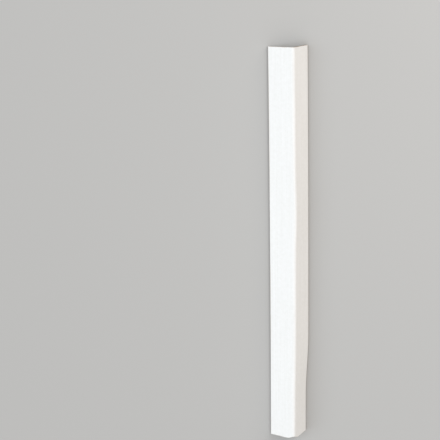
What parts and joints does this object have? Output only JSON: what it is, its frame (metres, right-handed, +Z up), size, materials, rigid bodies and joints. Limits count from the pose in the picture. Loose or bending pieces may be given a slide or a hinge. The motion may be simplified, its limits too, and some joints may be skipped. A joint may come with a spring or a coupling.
{
  "type": "pallet edge protector",
  "caption": "Straight right-angle board of laminated paper with a rounded fold and white faces, set over a pallet load's edge to guard it and spread strap pressure.",
  "frame": {"origin": "middle of the footprint on the floor, under the fold", "axes": "+Z up through the fold, +Y along the board, +X across it towards the right leg"},
  "size_m": [0.1252, 1.245, 0.0641],
  "materials": {
    "laminated_board": "smooth white paper liner, raw brown kraft at the cut edges"
  },
  "bodies": {
    "root": {"angle_board": "laminated_board"}
  },
  "joints": []
}
